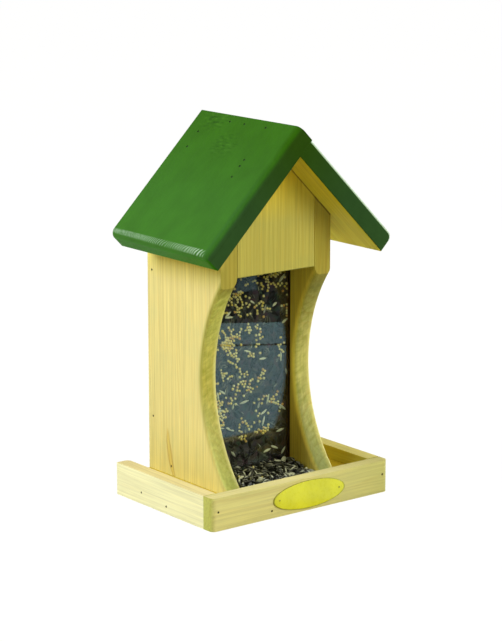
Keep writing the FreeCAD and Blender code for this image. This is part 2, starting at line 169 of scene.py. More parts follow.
class StudioLook(bpy.types.PropertyGroup):
    """Camera and light"""
    camera_place: FloatVectorProperty(name="Camera", description="Camera position", size=3, subtype="XYZ",
                                      default=(-1.21808, -1.56862, 0.60857))
    camera_turn: angle("Turn", 37.93, "Camera turned from +Y towards +X")
    camera_dip: angle("Dip", 12.76, "Camera looks down by this angle")
    focal_pixels: amount("Focal length", 2265.09, "Focal length in picture pixels", 10000.0)
    key: amount("Key lamp", 71.0, "Power of the large lamp on the left", 500.0)
    fill: amount("Fill lamp", 40.0, "Power of the lamp in front", 500.0)
    right: amount("Right lamp", 12.0, "Power of the low lamp on the right", 500.0)
    ambient: amount("Ambient", 0.2, "Light from all round", 10.0)


# Shader nodes

def is_socket(value):
    return isinstance(value, bpy.types.NodeSocket)


def fill(made, inputs):
    """Links or sets a node's inputs."""
    for key, value in inputs.items():
        if is_socket(value):
            made.id_data.links.new(value, made.inputs[key])
        else:
            made.inputs[key].default_value = value
    return made


def node(kind, inputs, tree=None, **settings):
    """Adds a shader node, sets it up and fills its inputs. Without a tree it joins that of its inputs."""
    tree = tree or next(value.id_data for value in inputs.values() if is_socket(value))
    made = tree.nodes.new("ShaderNode" + kind)
    for key, value in settings.items():
        setattr(made, key, value)
    return fill(made, inputs)


def sums(operation, first, second=0.0):
    """Result of a Math node."""
    return node("Math", {0: first, 1: second}, operation=operation).outputs[0]


def product(first, *others):
    """Values multiplied with one another."""
    for other in others:
        first = sums("MULTIPLY", first, other)
    return first


def minus(first, second):
    """One value less another."""
    return sums("SUBTRACT", first, second)


def vectors(operation, first, second=(0.0, 0.0, 0.0)):
    """Outputs of a Vector Math node: vector and value."""
    return node("VectorMath", {0: first, 1: second}, operation=operation).outputs


def span(value, low, high, to_low=0.0, to_high=1.0):
    """Value carried from one span to another, and held at its ends."""
    ends = {0: value, 1: low, 2: high, 3: to_low, 4: to_high}
    return node("MapRange", ends, clamp=True).outputs[0]


def blended(share, first, second):
    """Value between two values."""
    return node("Mix", {0: share, 2: first, 3: second}).outputs[0]


def rgba(value):
    """Colour ready for a socket."""
    return value if is_socket(value) else (*value, 1.0)


def mixed(share, first, second, blend="MIX"):
    """Colour mixed from two colours."""
    pair = {0: share, 6: rgba(first), 7: rgba(second)}
    return node("Mix", pair, data_type="RGBA", blend_type=blend).outputs[2]


def dyed(shade, dye):
    """Colour multiplied with another."""
    return mixed(1.0, shade, dye, "MULTIPLY")


def tinted(share, shade, tint):
    """Colour darkened or tinted where share says so."""
    return mixed(share, shade, dyed(shade, tint))


def grey(value):
    """Colour of three equal parts."""
    return node("CombineColor", {0: value, 1: value, 2: value}).outputs[0]


def moved(place, **how):
    """Coordinates sent through a Mapping node."""
    return node("Mapping", {"Vector": place, **how}).outputs[0]


def axes(place):
    """X, Y and Z of coordinates."""
    return node("SeparateXYZ", {0: place}).outputs


def cloud(place, scale, detail=2.0, rough=0.5, output=0):
    """Noise, where scale is one number or one for each axis. Output 0 is a value, 1 a colour."""
    if not isinstance(scale, (int, float)):
        place = moved(place, Scale=scale)
        scale = 1.0
    noise = {"Vector": place, "Scale": scale, "Detail": detail, "Roughness": rough}
    return node("TexNoise", noise).outputs[output]


def curve(value, stops):
    """Value read off a row of stops."""
    made = node("ValToRGB", {0: value})
    elements = made.color_ramp.elements
    while len(elements) < len(stops):
        elements.new(1.0)
    for element, (at, level) in zip(elements, stops):
        element.position = at
        element.color = (level, level, level, 1.0)
    return made.outputs[0]


def raised(height, strength, depth):
    """Normal of a bumped surface."""
    bump = {"Height": height, "Strength": strength, "Distance": depth}
    return node("Bump", bump).outputs[0]


def true_normal(place):
    """Normal of the mesh's own faces."""
    return node("NewGeometry", {}, place.id_data).outputs["True Normal"]


def facing(place, way):
    """How far the surface faces one way."""
    return vectors("DOT_PRODUCT", true_normal(place), way)[1]


def emptied(owner):
    """Node tree of a material or world, cleared."""
    owner.use_nodes = True
    owner.node_tree.nodes.clear()
    return owner.node_tree


def blank(name):
    """New material with a Principled shader and the piece's own coordinates."""
    material = bpy.data.materials.new(name)
    tree = emptied(material)
    shader = node("BsdfPrincipled", {}, tree)
    node("OutputMaterial", {"Surface": shader.outputs[0]})
    return material, shader, node("TexCoord", {}, tree).outputs["Object"]


def finish(inputs_of):
    """Turns a function that gives a shader's inputs into one that makes a named material of them."""
    def made(name, *settings):
        material, shader, place = blank(name)
        fill(shader, inputs_of(place, *settings))
        return material
    return made


# Finishes

def wood_figure(place, ring_gap, turn, pith):
    """Rings round a pith outside the board, and fibres along it: (ring, fibre) values."""
    along = moved(place, Rotation=turn, Location=pith)
    sway = vectors("SUBTRACT", cloud(along, (16.0, 16.0, 2.6), 3.0, 0.45, 1), (0.5, 0.5, 0.5))[0]
    sway = vectors("MULTIPLY", sway, (0.03, 0.03, 0.0))[0]
    flat = vectors("MULTIPLY", vectors("ADD", along, sway)[0], (1.0, 1.0, 0.02))[0]
    count = sums("DIVIDE", vectors("LENGTH", flat)[1], ring_gap)
    year = curve(sums("FRACT", count), [(0.0, 0.0), (0.4, 0.06), (0.78, 0.62), (0.92, 1.0), (1.0, 0.0)])
    order = {"W": sums("FLOOR", count)}
    vigour = node("TexWhiteNoise", order, noise_dimensions="1D").outputs[0]
    ring = product(year, span(vigour, 0.0, 1.0, 0.2, 1.0))
    return ring, cloud(along, (420.0, 420.0, 9.0), 3.5, 0.75)


def bare_pine(place, look, turn, pith, tint, figure):
    """Colour, roughness and normal of bare pine, darker on its end grain."""
    ring, fibre = wood_figure(place, look.ring_gap, turn, pith)
    patch = span(cloud(place, 26.0, 3.0, 0.55), 0.48, 0.72, 0.0, 0.55 * figure)
    shade = mixed(product(ring, 0.75 * figure), look.pale, look.late)
    shade = mixed(patch, shade, look.stain)
    shade = dyed(dyed(shade, grey(span(fibre, 0.32, 0.68, 0.82, 1.10))), tint)
    turned = {"Vector": true_normal(place), "Rotation": turn}
    end = sums("ABSOLUTE", axes(node("Mapping", turned, vector_type="VECTOR").outputs[0])[2])
    shade = tinted(span(end, 0.3, 0.95), shade, look.end)
    rough = span(fibre, 0.3, 0.7, 0.62, 0.5)
    height = sums("ADD", product(ring, 0.5 * figure), fibre)
    return shade, rough, raised(height, 0.3, 0.25 * MM)


@finish
def pine(place, look, turn, pith, tint, figure, *marks):
    """Bare board. figure is its grain's strength, and each mark changes its colour in one place."""
    shade, rough, normal = bare_pine(place, look, turn, pith, tint, figure)
    for mark in marks:
        shade = mark(place, shade)
    return {"Base Color": shade, "Roughness": rough, "Normal": normal, "Specular IOR Level": 0.2}


@prepared
def painted_facing_shade(place, shade, way, tint):
    """Mark: painted shade, where the faces that look one way take another tint."""
    return tinted(span(facing(place, way), 0.5, 0.8), shade, tint)


@prepared
def graded(place, shade, axis, start, end, tint, way=None):
    """Mark: the board, or its faces that look one way, take on a tint along an axis."""
    share = span(axes(place)[axis], start, end)
    if way:
        share = product(share, span(facing(place, way), 0.5, 0.8))
    return tinted(share, shade, tint)


@prepared
def sawn_edge_with_painted_light(place, shade, panel, gable, strip, left_lip_light, at_foot, at_middle, at_top):
    """Mark: a panel's front edge with painted light: its strip from left to right, and the sawn arc, graded
    from foot to top, with its lips low down in painted light, the right one a pale painted highlight.

    A painted shade of the arc's tint comes round onto the panel's outer face.
    """
    x, y, z = axes(place)
    left = panel[0].x
    right = panel[1].x
    front = gable[0].y
    low = panel[0].z + 10 * MM
    high = gable[0].z
    middle = 0.5 * (low + high)
    edge = product(span(sums("ABSOLUTE", facing(place, RIGHT)), 0.95, 0.6),
                   span(facing(place, FRONT), 0.0, 0.25))
    arc = sums("MAXIMUM", span(y, front + 0.2 * MM, front + 8 * MM), span(z, middle + 10 * MM, middle))
    slant = moved(place, Rotation=(0.0, math.radians(28), 0.0))
    marks = span(cloud(slant, (80.0, 80.0, 230.0), 4.0, 0.7), 0.38, 0.64)
    # Painted light: the arc's tint changes from foot to middle to top with how light falls on it; the saw
    # marks are the wood's own
    sawn = mixed(span(z, low, middle), at_foot, at_middle)
    sawn = mixed(span(z, middle, high - 14 * MM), sawn, at_top)
    sawn = tinted(marks, dyed(sawn, (1.12, 1.10, 1.16)), (0.68, 0.72, 0.50))
    # Painted light on the arc's left lip low down
    outer = product(span(x, left + 12 * MM, left + 2 * MM), span(z, middle - 15 * MM, low))
    sawn = mixed(outer, sawn, left_lip_light)
    # Painted highlight on the arc's right lip, stronger low down
    right_lip_highlight = product(span(x, right - 7 * MM, right - 1.5 * MM), span(z, high, middle))
    sawn = mixed(right_lip_highlight, sawn, (1.12, 1.27, 1.6))
    # The strip: painted light near its left edge, and a darker tint that is partly the wood's own tone and
    # partly painted shade under the roof
    upper = mixed(span(x, left + 0.5 * MM, left + 7 * MM), *strip)
    upper = mixed(span(z, high + 22 * MM, high + 6 * MM), upper, strip[1])
    # Painted shade on the outer face next to the arc, where the rounded edge turns away
    across = vectors("MULTIPLY", place, (0.0, 1.0, 1.0))[0]
    inward = minus(vectors("DISTANCE", across, ARC_AXIS)[1], ARC_RADIUS)
    outside = facing(place, (math.copysign(1.0, left), 0.0, 0.0))
    rounding_shade = product(span(inward, 5.5 * MM, 2 * MM), span(outside, 0.6, 0.9),
                   span(z, low, middle, 0.35, 1.0))
    shade = tinted(rounding_shade, shade, (0.56, 0.60, 0.32))
    return tinted(edge, shade, mixed(arc, upper, sawn))


def painted_seam_shadow(place, shade):
    """Mark: painted shadow along the seam under the roof boards."""
    x, y, z = axes(place)
    below = minus(minus(RIDGE, sums("ABSOLUTE", x)), z)
    seam_shadow = product(span(below, 0.6 * MM, 2.2 * MM, 0.85, 0.0), span(facing(place, UP), 0.5, 0.3))
    return tinted(seam_shadow, shade, (0.22, 0.17, 0.08))


@prepared
def painted_groove_shade(place, shade, front, back, deep):
    """Mark: painted shade in the pane's groove in a side panel."""
    x, y, z = axes(place)
    inside = sums("LESS_THAN", sums("ABSOLUTE", x), deep)
    groove = product(inside, sums("GREATER_THAN", y, front), sums("LESS_THAN", y, back))
    return tinted(groove, shade, (0.10, 0.06, 0.06))


@prepared
def resin_flame(place, shade, look, top, high, drift):
    """Mark: resin that runs down a side panel from its top point to the front, amber with dark edges."""
    x, y, z = axes(place)
    fall = sums("DIVIDE", minus(top[1], z), high)
    run = node("Clamp", {0: fall}).outputs[0]
    wander = product(minus(cloud(place, (0.0, 0.0, 70.0)), 0.5), 2.5 * MM)
    centre = minus(top[0], product(run, run, drift))
    half = sums("ADD", product(sums("SINE", product(run, 2.7)), 2.5 * MM), 0.6 * MM)
    off = minus(y, sums("ADD", centre, wander))
    reach = sums("DIVIDE", sums("ABSOLUTE", off), half)
    started = span(fall, 0.0, 0.12)
    core = product(span(reach, 0.5, 1.1, 0.75, 0.0), started)
    rim = span(sums("ABSOLUTE", minus(reach, 0.85)), 0.1, 0.5, 0.5, 0.0)
    shade = tinted(core, shade, (0.95, 0.84, 0.50))
    return mixed(product(rim, started), shade, look.resin)


def worn_arris_and_highlight(place, back, down, under, eave):
    """Rounded eave edge: paint rubbed on its ridges and a painted highlight along it, coarse at the front,
    then fine, then even.
    """
    low = span(back, 0.0, 140 * MM, 3.4 * MM, 1.7 * MM)
    arris = product(span(down, eave - 7.2 * MM, eave - 6.4 * MM), span(sums("DIVIDE", under, low), 1.0, 0.55),
                    span(back, 6 * MM, 11 * MM))
    sway = product(cloud(place, (40.0, 60.0, 40.0)), 9 * MM)
    along = minus(sums("ADD", back, sway), product(down, 0.9))
    worn = span(cloud(place, (10.0, 30.0, 10.0)), 0.34, 0.6, 0.55, 1.0)
    levels = []
    for gap, level in ((3.7 * MM, 0.75), (2.9 * MM, 0.4)):
        wave = sums("SINE", product(along, math.tau / gap))
        levels.append(span(wave, -0.1, 0.8, 0.0, level))
    hatch = product(blended(span(back, 46 * MM, 60 * MM), *levels), worn)
    fine = span(cloud(place, 600.0, 3.0, 0.6), 0.35, 0.65, 0.06, 0.34)
    return arris, blended(span(back, 80 * MM, 100 * MM), hatch, fine)


def knot_flecks(lying, paint, centre):
    """Paint over a knot of a roof board: pale and dark flecks round its place."""
    away = vectors("MULTIPLY", vectors("SUBTRACT", lying, centre)[0], (1.0, 0.7, 0.0))[0]
    near = span(vectors("LENGTH", away)[1], 17 * MM, 3 * MM)
    flecks = cloud(lying, (420.0, 120.0, 0.0))
    paint = tinted(product(near, span(flecks, 0.54, 0.64)), paint, (0.55, 0.66, 0.55))
    return tinted(product(near, span(flecks, 0.46, 0.36)), paint, (1.60, 1.30, 3.00))


@finish
def roof_finish(place, look, boards, side, eave, thick):
    """Paint on the top and edges, bare wood underneath. side is -1 for the left board, 1 for the right."""
    shift = RIDGE * math.sin(ROOF_PITCH)
    lying = moved(place, Rotation=(0.0, -side * ROOF_PITCH, 0.0), Location=(side * shift, 0.0, -shift))
    x, y, z = axes(lying)
    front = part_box("left_roof_board")[0].y
    down = product(x, side)
    back = minus(y, front)
    painted = sums("MAXIMUM", sums("GREATER_THAN", z, 0.05 * MM), sums("LESS_THAN", y, front + 1.2 * MM))
    heart = (thick + 55 * MM, -8 * MM, 0.0)
    # Painted light on the bare underside: its tint lighter and yellower, and lighter still towards the eave
    bare, bare_rough, bare_normal = bare_pine(lying, boards, ACROSS, heart, (1.18, 1.19, 0.50), 0.7)
    bare = tinted(span(down, 55 * MM, 125 * MM), bare, (1.25, 1.38, 2.6))

    depth = span(cloud(lying, (40.0, 60.0, 40.0), 4.0, 0.62), 0.3, 0.7, 0.90, 1.10)
    # The paint varies at random, and grows lighter towards the eave as painted sheen
    paint = dyed(look.paint, grey(product(depth, span(down, 0.0, eave, 0.88, 1.04))))
    # Painted light: near the ridge less sheen, darker and yellower; on the front face shade and sheen; on the
    # rounded front edge sheen; on the eave's end face more light, greener
    near_ridge = span(down, 70 * MM, 0.0)
    front_shade_and_sheen = span(back, 2.5 * MM, 0.6 * MM)
    rounded = product(span(back, 1.5 * MM, 3 * MM), span(back, 8.5 * MM, 5 * MM))
    painted_eave_light = span(down, eave - 0.6 * MM, eave - 0.05 * MM)
    for share, tint in ((near_ridge, (0.92, 0.95, 0.30)), (front_shade_and_sheen, (0.92, 0.60, 3.2)),
                        (rounded, (1.05, 0.88, 2.0)), (painted_eave_light, (1.0, 1.5, 0.42))):
        paint = tinted(share, paint, tint)
    for knot_down, knot_back in ((13 * MM, 4 * MM), (-11 * MM, 38 * MM)):
        paint = knot_flecks(lying, paint, (side * knot_down, knot_back, 0.0))
    # Rubbed paint and a painted highlight on the eave's rounded edge
    rubbed = product(*worn_arris_and_highlight(lying, back, down, minus(thick, z), eave))
    paint = mixed(rubbed, paint, look.pale_wear_and_highlight)
    # Painted highlight along the rounded top front edge that faces right
    painted_highlight = product(span(facing(place, (1.0, 0.0, 0.6)), 0.05, 0.3), span(back, 2 * MM, 4 * MM, 0.85, 0.0))
    paint = mixed(painted_highlight, paint, look.shine)

    brush = cloud(lying, (30.0, 420.0, 420.0))
    gloss = span(brush, 0.3, 0.7, look.gloss - 0.05, look.gloss + 0.07)
    ring = wood_figure(lying, 2.3 * MM, ACROSS, heart)[0]
    skin = sums("ADD", product(ring, 0.35), product(brush, 0.5))
    skin = raised(sums("ADD", skin, product(rubbed, 1.5)), 0.35, 0.3 * MM)
    normals = {0: painted, 4: bare_normal, 5: skin}
    return {
        "Base Color": mixed(painted, bare, paint),
        "Roughness": blended(painted, bare_rough, gloss),
        "Specular IOR Level": span(back, 4 * MM, 9 * MM, 0.0, 0.12),
        "Normal": node("Mix", normals, data_type="VECTOR").outputs[1],
    }


@finish
def dull_steel(place, dark, rusty):
    """Nail heads, darkened by set and weather or by paint."""
    rust = span(cloud(place, 900.0, 3.0), 0.42, 0.62)
    rough = span(rust, 0.0, 1.0, 0.7, 0.85)
    return {"Base Color": mixed(rust, dark, rusty), "Roughness": rough, "Metallic": 0.2}


def clear_sheet(name, look):
    """Clear pane that lets the lamps reach the seed."""
    tint = rgba(look.tint)
    material, shader = blank(name)[:2]
    fill(shader, {"Base Color": tint, "Transmission Weight": 1.0, "IOR": look.ior, "Roughness": 0.0})
    tree = material.node_tree
    path = node("LightPath", {}, tree).outputs
    passing = sums("MAXIMUM", path["Is Shadow Ray"], path["Is Diffuse Ray"])
    film = node("BsdfTransparent", {0: tint}, tree)
    both = node("MixShader", {0: passing, 1: shader.outputs[0], 2: film.outputs[0]})
    fill(tree.nodes["Material Output"], {"Surface": both.outputs[0]})
    return material


def kept_on_seed(place, name):
    """Outputs of an attribute that the grains carry."""
    return node("Attribute", {}, place.id_data, attribute_name=name).outputs


@finish
def husk_finish(place, look, plain, shine):
    """Sunflower husk: dark, with pale stripes along the seed. plain is the share of seeds without stripes."""
    spot = kept_on_seed(place, "seed_place")["Vector"]
    across = axes(spot)[0]
    wobble = product(cloud(spot, (1.5, 1.5, 2.0)), 1.2)
    stripes = span(sums("SINE", product(sums("ADD", across, wobble), 9.0)), 0.25, 0.8)
    share = span(kept_on_seed(place, "seed_tone")["Fac"], plain, plain + 0.25, 0.04, 1.0)
    rim = span(sums("ABSOLUTE", across), 0.72, 0.92)
    pale = product(sums("MAXIMUM", product(stripes, 0.3), rim), share)
    shade = mixed(pale, look.husk, look.stripe)
    rough = span(pale, 0.0, 1.0, 0.38, 0.6)
    return {"Base Color": shade, "Roughness": rough, "Specular IOR Level": shine}


@finish
def grain_finish(place, base, pale, rare, rough):
    """Small grains, each with its own tone, and a few of a rare colour."""
    tone = kept_on_seed(place, "seed_tone")["Fac"]
    mottle = span(cloud(place, 1500.0), 0.35, 0.65, 0.85, 1.08)
    shade = mixed(span(tone, 0.91, 0.94), mixed(tone, base, pale), rare)
    return {"Base Color": dyed(shade, grey(mottle)), "Roughness": rough}


@finish
def heap_finish(place, look):
    """Depth of the heap, seen only between the grains, nearly black as painted shade in the gaps."""
    cells = node("TexVoronoi", {"Vector": place, "Scale": 220.0}).outputs["Color"]
    return {"Base Color": dyed(mixed(0.8, cells, look.husk), (0.12, 0.11, 0.09)), "Roughness": 0.8}


@finish
def enamel_finish(place, look, middle, half_wide, half_high):
    """Yellow enamel with faint dents and a darker rim, which is a painted shadow along the plate's edge."""
    dents = cloud(place, 70.0)
    shade = mixed(span(dents, 0.35, 0.7), look.enamel, look.enamel * 0.86)
    x, y, z = axes(place)
    across = sums("POWER", sums("DIVIDE", minus(x, middle.x), half_wide), 2.0)
    up = sums("POWER", sums("DIVIDE", minus(z, middle.z), half_high), 2.0)
    reach = sums("SQRT", sums("ADD", across, up))
    # The darker rim at the plate's edge is a painted shadow
    return {
        "Base Color": mixed(span(reach, 0.955, 0.985, 0.0, 0.7), shade, look.rim),
        "Roughness": span(cloud(place, 260.0), 0.3, 0.7, 0.24, 0.34),
        "Specular IOR Level": 0.5,
        "Normal": raised(dents, 0.5, 1.0 * MM),
    }


@finish
def enamel_pin(place, look):
    """Pin heads, painted over with the plate and rubbed."""
    rubbed = span(cloud(place, 1200.0), 0.4, 0.6)
    return {"Base Color": mixed(rubbed, look.enamel * 0.6, look.rim), "Roughness": 0.45}


# Shapes

def linked(name, data):
    """New object in the scene."""
    made = bpy.data.objects.new(name, data)
    bpy.context.scene.collection.objects.link(made)
    return made


def modelled(name, bm, material):
    """Turns a finished bmesh into an object."""
    mesh = bpy.data.meshes.new(name)
    bm.to_mesh(mesh)
    bm.free()
    mesh.materials.append(material)
    return linked(name, mesh)


def piece(name, bm, material, body, slot, *stands_for):
    """Turns a finished bmesh into a piece of the feeder."""
    made = modelled(name, bm, material)
    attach(made, body)
    if stands_for:
        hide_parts(*stands_for)
    return made


def merged_copy(node_name):
    """Copy of a node's mesh with its triangles joined and its flat faces whole."""
    bm = bmesh.new()
    bm.from_mesh(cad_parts[node_name].data)
    bmesh.ops.remove_doubles(bm, verts=bm.verts, dist=0.002 * MM)
    bmesh.ops.dissolve_limit(bm, angle_limit=math.radians(0.3), verts=bm.verts, edges=bm.edges)
    return bm


def eased_board(node_name, material, body, slot, ease):
    """Board with its long sharp edges rounded, in place of a node."""
    bm = merged_copy(node_name)
    sharp = [edge for edge in bm.edges if edge.is_manifold
             and edge.calc_face_angle() > SHARP_CORNER and edge.calc_length() > 4 * MM]
    bmesh.ops.bevel(bm, geom=sharp, offset=ease, offset_type="OFFSET", affect="EDGES", segments=3,
                    profile=0.5, material=-1, clamp_overlap=True)
    for face in bm.faces:
        face.smooth = True
    for edge in bm.edges:
        edge.smooth = edge.is_manifold and edge.calc_face_angle() < SMOOTH_CORNER
    made = piece(node_name + "_eased", bm, material, body, slot, node_name)
    weighted = made.modifiers.new("Flat faces stay flat", "WEIGHTED_NORMAL")
    weighted.keep_sharp = True


def repaint(node_name, material):
    """Gives a node that stays as it is a better finish."""
    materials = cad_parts[node_name].data.materials
    materials.clear()
    materials.append(material)


# Seed

class Grain:
    """One grain: where it lies, how it lies and how large it is."""

    def __init__(self, spot, turn, half, beads, room=0.12 * MM):
        self.spot = Vector(spot)
        self.turn = turn
        self.half = half
        axis = turn @ Vector(UP)
        self.beads = [axis * at for at in beads]
        self.bead = 0.5 * (half[0] + half[1]) + room
        rows = turn.to_matrix()
        self.reach = Vector([math.sqrt(sum((rows[i][j] * half[j]) ** 2 for j in range(3))) for i in range(3)])


def loosened(grains, hold, rounds):
    """Pushes grains apart until they hardly overlap. hold keeps a grain inside its space."""
    widest = max(grain.bead for grain in grains)
    for step in range(rounds):
        owners = [(grain, offset) for grain in grains for offset in grain.beads]
        tree = KDTree(len(owners))
        for index, (grain, offset) in enumerate(owners):
            tree.insert(grain.spot + offset, index)
        tree.balance()
        pushes = defaultdict(Vector)
        for grain, offset in owners:
            here = grain.spot + offset
            for there, index, gap in tree.find_range(here, grain.bead + widest):
                other = owners[index][0]
                overlap = grain.bead + other.bead - gap
                if other is not grain and overlap > 0.0 and gap >= 1e-7:
                    pushes[id(grain)] += (here - there) * (0.25 * overlap / gap)
        for grain in grains:
            grain.spot += pushes[id(grain)]
            hold(grain)


def seed_shape(segments, rings, shape=Vector):
    """Bmesh with one grain of unit size, its own coordinates kept in an attribute. shape moves its points."""
    bm = bmesh.new()
    place = bm.verts.layers.float_vector.new("seed_place")
    bm.verts.layers.float.new("seed_tone")
    bmesh.ops.create_uvsphere(bm, u_segments=segments, v_segments=rings, radius=1.0)
    for vert in bm.verts:
        vert[place] = vert.co
        vert.co = shape(vert.co)
    for face in bm.faces:
        face.smooth = True
    return bm


def teardrop(point):
    """Sunflower seed: flattened, with a blunt end and a pointed one."""
    width = 1.0 - 0.32 * point.z - 0.12 * point.z ** 2
    return Vector((point.x * width, point.y * width * (1.0 - 0.25 * abs(point.x)), point.z))


def spindle(point):
    """Oat grain: slender, pointed at both ends."""
    width = 1.0 - 0.45 * point.z ** 2
    return Vector((point.x * width, point.y * width, point.z))


def scattered(bm, grains, draw, name, material):
    """Copies the bmesh's one grain, in a row of tones, to every place and joins them into one piece."""
    tone = bm.verts.layers.float["seed_tone"]
    tones = []
    for step in range(SEED_TONES):
        for vert in bm.verts:
            vert[tone] = step / (SEED_TONES - 1)
        tones.append(bpy.data.meshes.new(name + "_grain"))
        bm.to_mesh(tones[-1])
        tones[-1].materials.append(material)
    bm.free()
    made = piece(name, bmesh.new(), material, "feeder", "seed")
    copies = [made]
    for grain in grains:
        copy = linked(name + "_grain", draw.choice(tones))
        size = Matrix.Diagonal(Vector((*grain.half, 1.0)))
        copy.matrix_world = Matrix.Translation(grain.spot) @ grain.turn.to_matrix().to_4x4() @ size
        copies.append(copy)
    with bpy.context.temp_override(active_object=made, selected_editable_objects=copies):
        bpy.ops.object.join()
    for mesh in tones:
        bpy.data.meshes.remove(mesh)


def sunflower(spot, turn, look, draw, size=1.0):
    long = look.sunflower_long * size * draw.uniform(0.82, 1.16)
    half = (0.25 * long * draw.uniform(0.85, 1.1), 0.16 * long * draw.uniform(0.85, 1.1), 0.5 * long)
    return Grain(spot, turn, half, (-0.27 * long, 0.0, 0.27 * long))


def millet(spot, turn, look, draw):
    radius = 0.5 * look.millet_wide * draw.uniform(0.85, 1.15)
    return Grain(spot, turn, (radius, radius * 0.92, radius), (0.0,), 0.3 * MM)


def oat(spot, turn, look, draw):
    long = look.oat_long * draw.uniform(0.75, 1.15)
    half = (0.13 * long, 0.09 * long, 0.5 * long)
    return Grain(spot, turn, half, (-0.35 * long, -0.12 * long, 0.12 * long, 0.35 * long))


def turned(draw, axis, tilt, loose):
    """Turn of a grain: any way about an axis, then a nod and a roll round a tilt."""
    lie = Quaternion(axis, draw.uniform(0.0, math.tau))
    nod = Quaternion(RIGHT, tilt + draw.gauss(0.0, loose))
    roll = Quaternion(UP, tilt + draw.gauss(0.0, 0.5))
    return lie @ nod @ roll


def against_pane(draw):
    """Turn of a grain that lies against the pane."""
    return turned(draw, REAR, 0.0, 0.3)


def lying_down(draw):
    """Turn of a grain that lies on a level heap."""
    return turned(draw, UP, math.radians(90), 0.25)


@prepared
def kept_in(grain, low, high):
    """Keeps a grain between two corners."""
    for axis in range(3):
        least = low[axis] + grain.reach[axis]
        most = high[axis] - grain.reach[axis]
        grain.spot[axis] = min(max(grain.spot[axis], least), max(most, least))


@prepared
def drawn_in(draw, low, high):
    """Spot drawn between two corners."""
    return Vector([draw.uniform(a, b) for a, b in zip(low, high)])


@prepared
def clustered(draw, centres, low, high, spread):
    """Spot drawn near one of the centres."""
    centre = draw.choice(centres)
    return Vector([min(max(draw.gauss(c, s), a), b) for c, s, a, b in zip(centre, spread, low, high)])


def heap(kind, count, spot, lie, look, draw, **size):
    """Grains of one kind, each drawn to its own spot and turn."""
    return [kind(spot(draw), lie(draw), look, draw, **size) for step in range(count)]


def seed_finishes(look, prefix, plain, shine):
    return (husk_finish(prefix + "_husk", look, plain, shine),
            grain_finish(prefix + "_millet", look.millet, (0.80, 0.79, 0.44), (0.64, 0.38, 0.08), 0.4),
            grain_finish(prefix + "_oat", look.oat, (0.50, 0.54, 0.44), (0.30, 0.32, 0.26), 0.5),
            heap_finish(prefix + "_depth", look))


def seed_pieces(prefix, heaps, draw, finishes):
    """Makes one piece of each kind of seed."""
    shapes = (("sunflower", seed_shape(10, 6, teardrop)), ("millet", seed_shape(8, 5)),
              ("oats", seed_shape(8, 6, spindle)))
    for (kind, bm), grains, material in zip(shapes, heaps, finishes):
        scattered(bm, grains, draw, prefix + "_" + kind, material)


def shrunk_heap(node_name, material, name, front, top):
    """Dark depth of a heap: the node's solid, its front drawn back and its top let down."""
    low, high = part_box(node_name)
    bm = merged_copy(node_name)
    for vert in bm.verts:
        if vert.co.y < low.y + 1 * MM:
            vert.co.y += front
        if vert.co.z > low.z + 2 * MM and vert.co.y < high.y + 1 * MM:
            vert.co.z -= top if vert.co.z - top > low.z else 0.5 * (vert.co.z - low.z)
    piece(name, bm, material, "feeder", "seed", node_name)


# Studio

def lamp(name, place, size, power, shade):
    """Area lamp aimed at the middle of the feeder."""
    light = bpy.data.lights.new(name, "AREA")
    light.color = shade
    light.shape = "RECTANGLE"
    light.size, light.size_y = size
    light.energy = power
    made = linked(name, light)
    made.location = place
    made.rotation_euler = (FEEDER_MIDDLE - Vector(place)).to_track_quat("-Z", "Y").to_euler()


def camera(look):
    lens = bpy.data.cameras.new("camera")
    lens.sensor_fit = "HORIZONTAL"
    lens.lens = look.focal_pixels * lens.sensor_width / PICTURE_WIDE
    made = linked("camera", lens)
    made.location = look.camera_place
    made.rotation_euler = (math.radians(90) - look.camera_dip, 0.0, -look.camera_turn)
    return made


def seen_white(behind):
    """1 for rays that show the backdrop, straight or through glass, and in gloss where it lies behind."""
    path = node("LightPath", {}, behind.id_data).outputs
    seen = sums("MAXIMUM", path["Is Camera Ray"], path["Is Transmission Ray"])
    return sums("MAXIMUM", seen, product(path["Is Glossy Ray"], behind))


def white_world(look):
    world = bpy.data.worlds.new("white_studio")
    tree = emptied(world)
    soft = node("Background", {0: (1.0, 0.83, 0.15, 1.0), 1: look.ambient}, tree).outputs[0]
    white = node("Background", {0: WHITE, 1: 1.0}, tree).outputs[0]
    x, y, z = axes(node("TexCoord", {}, tree).outputs["Generated"])
    behind = span(minus(y, product(z, 1.5)), 0.1, 0.5)
    both = node("MixShader", {0: seen_white(behind), 1: soft, 2: white})
    node("OutputWorld", {0: both.outputs[0]})
    return world


def flat_card(name, corners, level, material):
    bm = bmesh.new()
    bm.faces.new([bm.verts.new((x, y, level)) for x, y in corners])
    made = modelled(name, bm, material)
    return made


def pale_floor():
    material = bpy.data.materials.new("pale_floor")
    tree = emptied(material)
    matt = node("BsdfDiffuse", {0: (0.4, 0.37, 0.22, 1.0)}, tree).outputs[0]
    shine = node("Emission", {0: WHITE, 1: 1.08}, tree).outputs[0]
    back = axes(node("TexCoord", {}, tree).outputs["Object"])[1]
    share = product(seen_white(span(back, 0.1, 0.5)), 0.92)
    both = node("MixShader", {0: share, 1: matt, 2: shine})
    node("OutputMaterial", {0: both.outputs[0]})
    reach = 6.0
    corners = [(-reach, -reach), (reach, -reach), (reach, reach), (-reach, reach)]
    flat_card("floor", corners, -0.5 * MM, material)


